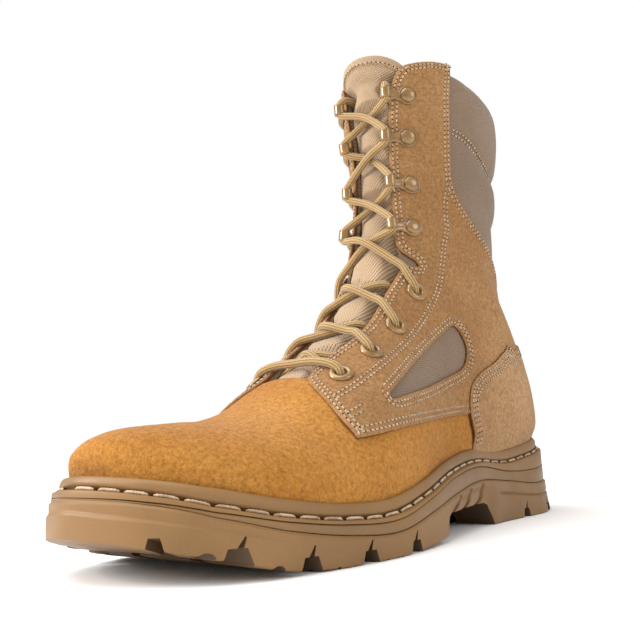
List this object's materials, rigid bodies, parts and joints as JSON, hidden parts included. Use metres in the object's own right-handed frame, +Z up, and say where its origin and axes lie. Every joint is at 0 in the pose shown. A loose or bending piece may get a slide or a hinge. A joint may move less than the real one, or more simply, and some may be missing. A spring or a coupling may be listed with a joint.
{
  "type": "combat boot",
  "caption": "Tall laced combat boot with a suede and woven nylon upper, speed hooks and eyelets, on a lugged rubber sole with a welt.",
  "frame": {"origin": "bottom centre of the boot's box, on the floor that it stands on", "axes": "+Y from toe to heel, +X to the outer side of the left foot, +Z up from the tread to the collar"},
  "size_m": [0.1148, 0.3168, 0.2641],
  "materials": {
    "suede": "rough-out suede, golden tan",
    "nylon": "heavy woven nylon, khaki",
    "rubber": "moulded rubber, coyote tan, satin",
    "midsole_rubber": "moulded rubber, coyote tan, matt",
    "insole_foam": "fabric over foam, matt",
    "painted_brass": "glossy tan paint over brass",
    "lace_cord": "braided round nylon lace, tan"
  },
  "bodies": {
    "root": {"outsole": "rubber", "midsole": "midsole_rubber", "welt": "rubber", "upper": "suede", "heel_counter": "suede", "insole": "insole_foam", "tongue": "nylon", "eyelet_outer_1": "painted_brass", "eyelet_outer_2": "painted_brass", "eyelet_outer_3": "painted_brass", "eyelet_outer_4": "painted_brass", "hook_outer_1": "painted_brass", "hook_outer_2": "painted_brass", "hook_outer_3": "painted_brass", "hook_outer_4": "painted_brass", "eyelet_inner_1": "painted_brass", "eyelet_inner_2": "painted_brass", "eyelet_inner_3": "painted_brass", "eyelet_inner_4": "painted_brass", "hook_inner_1": "painted_brass", "hook_inner_2": "painted_brass", "hook_inner_3": "painted_brass", "hook_inner_4": "painted_brass", "lace_bar": "lace_cord", "lace_crossing_1": "lace_cord", "lace_crossing_2": "lace_cord", "lace_crossing_3": "lace_cord", "lace_hooked": "lace_cord"}
  },
  "joints": []
}
